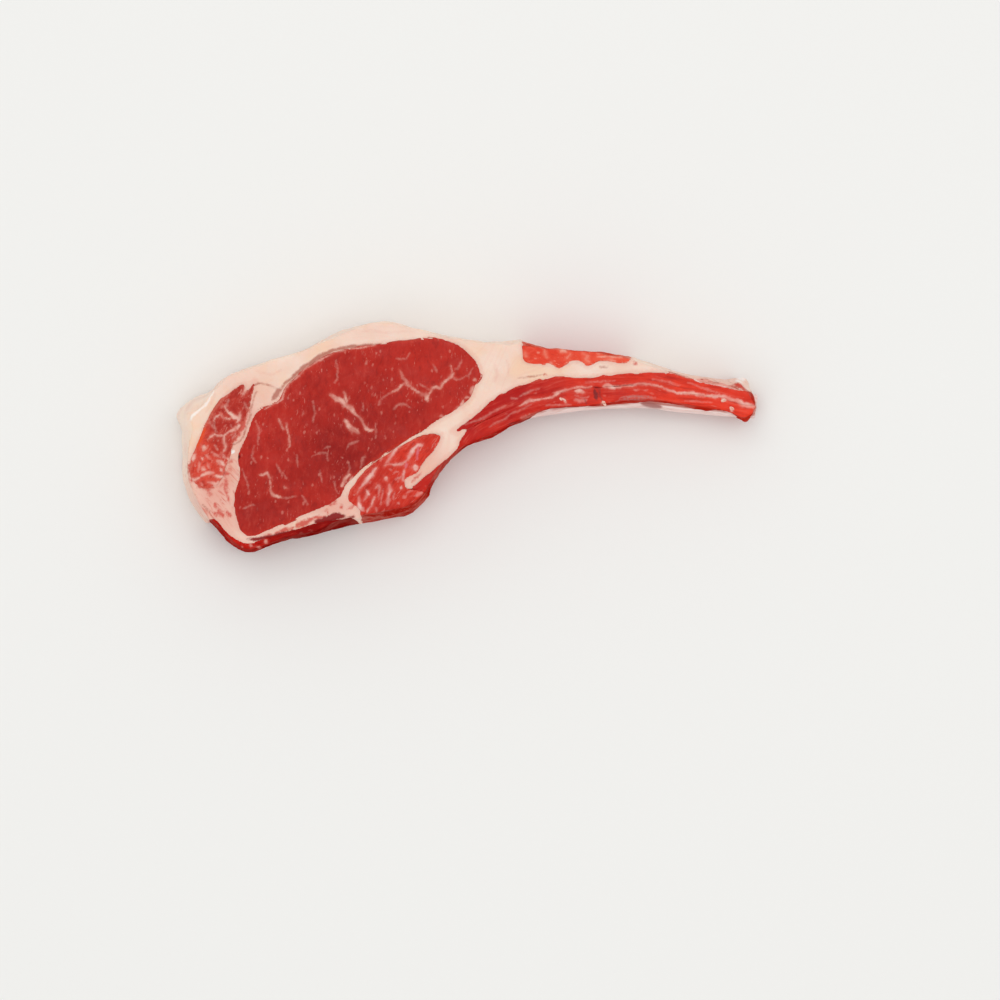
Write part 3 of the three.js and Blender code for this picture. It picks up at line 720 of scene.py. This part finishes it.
# Fat is waxy and cream-pink: light scatters deeply in it, so its shadows are soft and warm. Thin brownish
# skin, creases and shreds of meat show in it.
fatCover = {
    "name": "fatCover", "slot": "fat", "voxel": 0.435, "smooth": 1, "grow": 0.6,
    "slimBetween": [("eye_muscle", "rib_side_muscle", 1.4, 2.8)], "yieldsTo": [("cap_muscle", 0.35)],
    "light": "#f1d9ca", "dull": "#ecc9b6", "peach": "#f1c9a8", "blush": "#e6ad9c", "skinTone": "#a94b34",
    "creaseTone": "#e2ab9a", "pinkTone": "#e29f8e", "meatTone": "#c93320", "filmTone": "#e19a8d",
    # the wall tone is painted light for the steep sides, the blood tone partly painted shadow, the white tone
    # partly painted highlight
    "whiteAndHighlightTone": "#f8f0ec", "bloodAndShadowTone": "#8a0b07", "paintedWallLightTone": "#ffe7d4", "wallThins": 0.3,
    "relief": [(0.18, 8, 6), (0.09, 3, 7)], "layerRelief": [(0.05, (9, 1.1, 4), 8)],
    "shredRelief": [(0.2, (5, 0.9, 3), 9)], "wallRelief": [(0.45, 7, 10), (0.2, 2.6, 13)],
    "skinDepth": 0.12, "edgeRise": 0.12,  # the fat stands a little higher beside the meat, mm
    "patchSize": 9, "streakSize": (12, 1.6, 6),  # cloudy patches and layers, mm
    "blushStrength": 0.5, "blushReach": 1.3, "streakStrength": 0.2, "peachStrength": 0.6,
    "shredSize": (4, 0.8, 0.8),  # torn fibres at the chine end and in the film on the handle, mm
    "tornAngles": (-48, -24),  # degrees
    "markRough": 1.0, "wallLightAndShadeStrength": 0.6, "filmThins": 0.65,  # share that the film loses on the walls
    "wallPatch": 7, "wallPatchStrength": 0.28,  # thin skin in patches over the outside, mm
    "roughLow": 0.34, "roughHigh": 0.56, "bump": 0.35,
    "shader": {"IOR": 1.44, "Specular IOR Level": 0.3, "Subsurface Weight": 0.25,
               "Subsurface Radius": (1.0, 0.6, 0.45), "Subsurface Scale": 0.0016, "Coat Weight": 0.06,
               "Coat Roughness": 0.25},
    "pinkZones": [
        (-64, -15, 6, 6, 0.75), (-58, -21, 6, 4, 0.5), (-33, -18, 9, 4, 0.75), (-46, -23.5, 9, 2, 0.4),
        (-60, -9, 3, 5, 0.8), (-14, -9, 8, 6, 0.45), (-56.5, 0, 3, 5, 0.6), (-54, 6, 1.6, 4, 0.5),
        (-50, 9, 4, 4, 0.35), (-58, 15, 10, 5, 0.15), (-21, 26, 10, 3, 0.12), (-7, -5, 5, 4, 0.25),
    ],
    "shredZones": [(-63, -17, 5, 5, 0.75), (-59, -10, 2.5, 4, 0.8), (-70, -9, 2, 5, 0.5)],
    "filmZones": [(64, 13.5, 9, 3.2, 1.4), (55, 16.5, 4, 2, 0.6)],
    "skins": [
        (0.48, -46.7, 11.2, -44.6, 13.9, -42.1, 16.1, -39.3, 18.2, -36.4, 20.2, -33.1, 21.7, -28.4, 22.4,
         -21.4, 23.1), (0.2, -53.2, 12.6, -51.8, 13.5, -49.4, 12.8, -47.6, 12.2),
        (0.6, -46.9, 12, -47.4, 10.6, -48.6, 9.2),
        (0.2, -52.3, 11.4, -53.1, 10, -53.4, 8.6, -54, 6.9, -53.7, 5.4, -54.2, 4, -55, 2.6, -55.4, 1.1,
         -55.8, -0.3, -57, -1.5, -58.4, -2, -58.7, -3.2), (0.16, 13, 14.7, 16.8, 15.1, 20.5, 15.5),
        (0.12, 33.2, 17.4, 35.5, 17.5), (0.15, -66.1, -16.9, -65.2, -17.8, -64.2, -19, -63.6, -20),
        (0.12, -69.6, -6.9, -69.6, -9.2, -69.2, -10.9), (0.16, -69.4, -13.2, -68.6, -14.2, -67.8, -14.6),
        (0.2, 51.2, 16.4, 53.2, 15.4, 55.1, 14.2, 57, 13.2),
        (0.3, 59, 14.5, 60.7, 14.2, 63.4, 14.3, 65.9, 13.8, 68, 12.9, 70.3, 11.2),
        (0.18, 60.8, 13.4, 62.4, 13.5, 64, 13.6), (0.25, 66, 13, 68, 12, 69.8, 10.6),
        (0.14, 53.4, 16.4, 57, 15.4, 61, 15),
    ],
    "creases": [
        (0.14, -52, 16.2, -48.8, 15.4, -46, 16.8), (0.12, -26, 26.6, -20, 26, -14, 26.4),
        (0.3, 7.4, 17.6, 7.8, 15.4, 7.2, 13.6), (0.16, 10.2, 19, 10.6, 15),
        (0.2, -62.8, 10.6, -63.6, 8.4, -65, 6), (0.2, 23, 18.4, 26, 18, 29, 18.6),
    ],
    "meats": [  # meat that breaks through the fat
        (0.35, -62.8, -16.5, -62.2, -18.1), (0.55, -61.9, -18.3, -60.7, -20.1),
        (0.35, -63, -18.8, -62.5, -19.9), (0.6, -69.1, -6.6, -68.9, -9, -68.4, -11),
        (0.3, -59.9, -14, -59.4, -16.2), (0.5, -59.9, -18.6, -58.8, -20.2), (0.4, -31.3, -17.3, -31.1, -18.1),
        (0.2, -34.8, -18.3, -34.3, -19), (0.45, 42, 18.6, 42.6, 17.8),
        (0.4, -67, -12.6, -65, -13.1, -63, -12.7), (0.3, -37.4, -20.2, -36.6, -20.9),
        (0.25, -60.5, -8.4, -59.6, -9.4), (0.3, -61.6, -12.6, -60.9, -11.6), (0.3, 19.6, 15.3, 20.5, 15.4),
        (0.3, 60.4, 12, 63, 12, 66, 11.4), (0.35, -64.6, -13.9, -63.4, -14.6),
        (0.5, -60.6, -8.9, -59.2, -9.4), (0.35, -60.2, -10.7, -59.8, -14.5), (0.35, -59.4, -6, -58.4, -6.4),
        (0.55, 67.2, 13.2, 69.2, 12.4, 71, 10.9), (0.45, -47.6, -24.1, -45.4, -23.3, -43.2, -22.6),
        (0.8, -42.6, -22.4, -40.4, -21.6, -38.8, -20.9), (0.5, -39.4, -20.9, -37.6, -20.3, -35, -20),
        (0.3, -50.6, -25, -48.6, -24.4), (0.26, -13.6, -11.4, -12.4, -10.4, -11.2, -9.2),
        (0.2, -15.2, -10.6, -14.4, -9.4), (0.65, -54.5, 7, -55.2, 4.6, -55.8, 2.8, -56.9, 0.9, -58.2, -1.2),
        (0.2, -27.6, -16, -28.4, -17.4, -29.6, -18), (0.25, -34, -17.2, -32.6, -16.6),
    ],
    # dark red along the chine edge: partly blood, partly painted shadow of the hollow under the edge
    "bloodsAndShadow": [
        (0.6, -39, -23, -36.4, -22.2, -33.8, -21.4, -30.8, -20.6, -28, -20),
        (0.9, -37.6, -21.5, -34.8, -20.7, -32.2, -20, -30.4, -19.7),
        (0.5, -54.4, -25.8, -51, -25.6, -48.6, -25.1, -45.6, -24.2, -42.6, -23.4),
    ],
    # pale marks: the ridge line at the left and the spot beside the eye's notch are painted highlights, the
    # rest pale tissue
    "whitesAndHighlights": [
        (0.3, -63, 11.3, -64.1, 9.9, -64.7, 8.4, -65.9, 7.3, -67, 6.3, -68.4, 5.1, -69.6, 3.4, -70.2, 2.1),
        (0.16, 54.3, 15.3, 57, 14.3, 59.3, 13.3), (0.14, 59.5, 12.8, 62.2, 12.8, 64.2, 12.5),
        (0.14, 64.2, 12.5, 66.3, 11.9), (0.16, 62, 13.9, 64.6, 13.8), (1.2, 67.2, 14.8, 69, 14.7, 70.6, 13.6),
        (0.2, 68.2, 11.9, 69.6, 10.6, 71.3, 9.9), (0.5, -58.6, -4.3, -58, -3.6),
    ],
}


def fatMaterial(look):
    m, place, grain, torn, near, pinks, shredding, film, wall, *drawn = newMaterial(
        "CreamFat", ["grain", "torn"],
        ["near", "pinks", "shredding", "film", "wall", "skins", "creases", "meats", "bloodsAndShadow", "whitesAndHighlights"])
    skins, creases, meats, bloodsAndShadow, whitesAndHighlights = drawn

    # cloudy base with faint layers that run round the chop
    cloud = addNode(m, "TexNoise", {"Scale": 1 / look["patchSize"], "Detail": 5, "Roughness": 0.55},
                    {"Vector": place})
    tone = addNode(m, "MapRange", {"From Min": 0.32, "From Max": 0.68}, {"Value": cloud})
    elsewhere = addNode(m, "Mapping", {"Location": (31, 7, 3)}, {"Vector": place})
    warm = addNode(m, "TexNoise", {"Scale": 1 / look["patchSize"], "Detail": 3}, {"Vector": elsewhere})
    peach = addNode(m, "MapRange", {**eased, "From Min": 0.5, "From Max": 0.7,
                                    "To Max": look["peachStrength"]}, {"Value": warm})
    layer = alongFibres(m, grain, look["streakSize"], Detail=5, Roughness=0.6, Distortion=0.4)
    streak = addNode(m, "MapRange", {**eased, "From Min": 0.5, "From Max": 0.72,
                                     "To Max": look["streakStrength"]}, {"Value": layer})

    # edges of all drawn marks are roughened by one noise
    rough = centredNoise(m, place, look["markRough"], Scale=1.4, Detail=4, Roughness=0.6)
    skin, crease, meat, bloodAndShade, whiteAndHighlight, blush = (softMark(m, rough, *row) for row in (
        (skins, 0.7, 0.3, -0.3, 0.75), (creases, 0.8, 0.5, -0.5, 0.45), (meats, 1.5, 0.45, -0.45, 0.85),
        (bloodsAndShadow, 1.0, 0.3, -0.3, 1.0), (whitesAndHighlights, 0.5, 0.3, -0.3, 0.85),
        (near, 1.4, look["blushReach"], 0.2, look["blushStrength"])))

    # torn fibres of meat in the fat at the chine end, and in the film on the handle
    shred = alongFibres(m, torn, look["shredSize"], Detail=5, Roughness=0.6, Distortion=0.9)
    fibre = addNode(m, "MapRange", {**eased, "From Min": 0.5, "From Max": 0.7}, {"Value": shred})
    meatFibre, filmFibre = (addNode(m, "Math", {"operation": "MULTIPLY"}, {0: fibre, 1: zone})
                            for zone in (shredding, film))

    # walls painted lighter, painted light for the steep sides, with thin skin in patches
    wallLightAndShade = addNode(m, "Math", {"operation": "MULTIPLY", 1: look["wallLightAndShadeStrength"]}, {0: wall})
    patch = addNode(m, "TexNoise", {"Scale": 1 / look["wallPatch"], "Detail": 7, "Roughness": 0.6,
                                    "Distortion": 0.6}, {"Vector": place})
    patch = addNode(m, "MapRange", {**eased, "From Min": 0.5, "From Max": 0.68,
                                    "To Max": look["wallPatchStrength"]}, {"Value": patch})
    patch = addNode(m, "Math", {"operation": "MULTIPLY"}, {0: patch, 1: wall})
    # the blood marks are partly painted shadow and the white marks partly painted highlights
    colour = layColours(m, look, "dull", (
        (tone, "light"), (peach, "peach"), (streak, "blush"), (wallLightAndShade, "paintedWallLightTone"), (patch, "creaseTone"),
        (pinks, "pinkTone"), (blush, "blush"), (film, "filmTone"), (meatFibre, "meatTone"),
        (filmFibre, "skinTone"), (crease, "creaseTone"), (skin, "skinTone"), (meat, "meatTone"),
        (bloodAndShade, "bloodAndShadowTone"), (whiteAndHighlight, "whiteAndHighlightTone")))

    wet = addNode(m, "TexNoise", {"Scale": 0.4, "Detail": 5}, {"Vector": place})
    roughness = addNode(m, "MapRange", {"To Min": look["roughLow"], "To Max": look["roughHigh"]},
                        {"Value": wet})
    height = addNode(m, "Math", {"operation": "ADD"}, {0: layer, 1: shred})
    bump = addNode(m, "Bump", {"Strength": look["bump"], "Distance": 0.0003}, {"Height": height})
    return closeMaterial(m, look["shader"], {"Base Color": colour, "Roughness": roughness, "Normal": bump})


def makeFat(node, look):
    piece = skinOf(node, look)
    points, normals = readSkin(piece.data)
    moved = wandering(points)
    grain = grainRound(points)
    wall = wallShare(normals)
    torn = np.where(points[:, :1] < 0, *(grainAlong(points, angle) for angle in look["tornAngles"]))
    shredding = zoneLevel(points, 0, look["shredZones"])
    marks = {name: strokeDistance(moved, look[name]) + look["wallThins"] * wall
             for name in ("skins", "creases", "meats", "bloodsAndShadow", "whitesAndHighlights")}
    near = nearestTissue(points, sorted(set(trees) - {node, "rib_bone"}), 2.5)
    depths = relief(points, look["relief"]) + relief(grain, look["layerRelief"])
    depths += relief(torn, look["shredRelief"]) * np.clip(shredding, 0, 1)
    depths += relief(points, look["wallRelief"]) * wall
    depths -= look["skinDepth"] * fade(-marks["skins"], -0.2, 0.2)
    carve(piece, depths, -look["edgeRise"] * fade(2.2 - near, 0, 2))
    writeAttributes(
        piece.data, grain=grain, torn=torn, near=near, wall=wall, shredding=shredding,
        pinks=zoneLevel(points, 0, look["pinkZones"]),
        film=zoneLevel(points, 0, look["filmZones"]) * (1 - look["filmThins"] * wall), **marks)
    finishPiece(piece, node, look, fatMaterial(look))


makeFat("fat_cover", fatCover)


# The rib shows through its thin wet membrane, greyish and smooth, and has porous red marrow at the sawn end.
ribBone = {
    "name": "ribBone", "slot": "bone", "voxel": 0.34, "smooth": 3, "grow": 0.0,
    "light": "#fae4df", "dull": "#e3b2a9", "bloodAndShade": "#b4503f", "stainTone": "#98352b", "sawn": "#f1dccb",
    "marrow": "#d58a7a", "pore": "#9c3a2e",
    "relief": [(0.12, 6, 9), (0.05, (5, 1, 1), 10)],
    "streakSize": (9, 0.9, 0.9), "poreSize": 0.55,  # membrane streaks and marrow pores, mm
    "bloodStrength": 0.75, "roughLow": 0.3, "roughHigh": 0.5,
    "wallThickness": 1.1, "endDepth": 1.5,  # dense bone round the marrow, and reach of the sawn end, mm
    "stains": [(0.75, 44, 8.3, 46.4, 7.8, 49, 7.4)],
    "shader": {"IOR": 1.45, "Subsurface Weight": 0.1, "Subsurface Radius": (1.0, 0.5, 0.4),
               "Subsurface Scale": 0.001, "Coat Weight": 0.2, "Coat Roughness": 0.2},
}


def boneMaterial(look):
    m, place, grain, near, core, stain = newMaterial("MembranedBone", ["grain"], ["near", "core", "stain"])
    streak = alongFibres(m, grain, look["streakSize"], Detail=5, Roughness=0.6, Distortion=0.3)
    tone = addNode(m, "MapRange", {"From Min": 0.35, "From Max": 0.65}, {"Value": streak})

    # blood beside the meat, partly painted shade under its edge, and in stains
    wander = addNode(m, "Math", {"operation": "MULTIPLY_ADD", 1: 3.0, 2: -1.5}, {0: streak})
    bloodAndShade = softMark(m, wander, near, 1, 1.4, 0.0, look["bloodStrength"])
    spot = addNode(m, "MapRange", {**eased, "From Min": 0.3, "From Max": -0.4, "To Max": 0.8},
                   {"Value": stain})

    # the sawn end: dense bone round porous marrow
    pores = addNode(m, "TexVoronoi", {"Scale": 1 / look["poreSize"]}, {"Vector": place})
    spongy = addNode(m, "MapRange", {**eased, "From Min": 0.42, "From Max": 0.2}, {"Value": pores})
    sawn = addNode(m, "MapRange", {"From Min": -0.1, "From Max": 0.0}, {"Value": core})
    marrow = addNode(m, "MapRange", {**eased, "From Min": look["wallThickness"] - 0.2,
                                     "From Max": look["wallThickness"] + 0.3}, {"Value": core})
    holes = addNode(m, "Math", {"operation": "MULTIPLY"}, {0: spongy, 1: marrow})
    colour = layColours(m, look, "dull", (
        (tone, "light"), (bloodAndShade, "bloodAndShade"), (spot, "stainTone"), (sawn, "sawn"), (marrow, "marrow"),
        (holes, "pore")))
    roughness = addNode(m, "MapRange", {"To Min": look["roughLow"], "To Max": look["roughHigh"]},
                        {"Value": streak})
    bump = addNode(m, "Bump", {"Strength": 0.3, "Distance": 0.0003}, {"Height": streak})
    return closeMaterial(m, look["shader"], {"Base Color": colour, "Roughness": roughness, "Normal": bump})


def makeBone(node, look):
    piece = skinOf(node, look)
    points, normals = readSkin(piece.data)
    low, high = (np.array(corner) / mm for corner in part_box(node))
    isEnd = (points[:, 0] > high[0] - look["endDepth"]) & (normals[:, 0] > 0.8)
    middle = points[isEnd, 1:].mean(axis=0)
    reach = np.abs(points[isEnd, 1:] - middle).max(axis=0)
    spread = 1 - np.hypot(*((points[:, 1:] - middle) / reach).T)
    carve(piece, relief(points, look["relief"]), 0.0)
    writeAttributes(
        piece.data, grain=grainRib(points), core=np.where(isEnd, np.clip(spread, 0, 1) * reach.min(), -1.0),
        near=nearestTissue(points, ["inner_rib_meat"], 4.0), stain=strokeDistance(points, look["stains"]))
    finishPiece(piece, node, look, boneMaterial(look))


makeBone("rib_bone", ribBone)


# floor, light and camera; the camera looks straight down from far away; sizes and places in metres
studio = {
    "floorSize": 4.0, "floorColour": "#eeeeec", "cameraHeight": 2.0, "pictureWidth": 0.25,
    "pictureX": 0.0085, "pictureY": -0.0159, "faceHeight": 0.02,
    "roomLight": 0.76, "lampSize": 0.6, "lampDistance": 1.3, "filmWidth": 36,  # the film in mm
    # azimuth and elevation in degrees, watts
    "lamps": [("lampBack", 105, 72, 2.4), ("lampRight", 15, 68, 1.6), ("lampFront", 235, 68, 1.2)],
}


def makeStudio():
    bpy.ops.mesh.primitive_plane_add(size=studio["floorSize"], location=(0, 0, 0))
    floor = bpy.context.active_object
    floor.name = "floor"
    paper, place = newMaterial("PalePaper")
    grit = addNode(paper, "TexNoise", {"Scale": 0.9, "Detail": 3}, {"Vector": place})
    bump = addNode(paper, "Bump", {"Strength": 0.05, "Distance": 0.0002}, {"Height": grit})
    closeMaterial(paper, {"Base Color": linearColour(studio["floorColour"]), "Roughness": 0.8, "IOR": 1.4},
                  {"Normal": bump})
    floor.data.materials.append(paper)

    scene = bpy.context.scene
    scene.view_settings.view_transform = "Standard"
    scene.world = bpy.data.worlds.new("softRoom")
    scene.world.use_nodes = True
    sky = scene.world.node_tree.nodes["Background"]
    sky.inputs["Color"].default_value = (1.0, 0.995, 0.985, 1.0)
    sky.inputs["Strength"].default_value = studio["roomLight"]

    for name, azimuth, elevation, power in studio["lamps"]:
        turn, rise = math.radians(azimuth), math.radians(elevation)
        away = Vector((math.cos(rise) * math.cos(turn), math.cos(rise) * math.sin(turn), math.sin(rise)))
        bpy.ops.object.light_add(type="AREA", location=away * studio["lampDistance"])
        lamp = bpy.context.active_object
        lamp.name = name
        lamp.rotation_euler = away.to_track_quat("Z", "Y").to_euler()
        lamp.data.size = studio["lampSize"]
        lamp.data.energy = power
        lamp.visible_camera = False

    bpy.ops.object.camera_add(location=(studio["pictureX"], studio["pictureY"], studio["cameraHeight"]))
    camera = bpy.context.active_object
    camera.rotation_euler = (0, 0, 0)
    camera.data.sensor_width = studio["filmWidth"]
    distance = studio["cameraHeight"] - studio["faceHeight"]
    camera.data.lens = studio["filmWidth"] * distance / studio["pictureWidth"]
    camera.data.clip_end = 20
    scene.camera = camera


makeStudio()
print("studio ready")
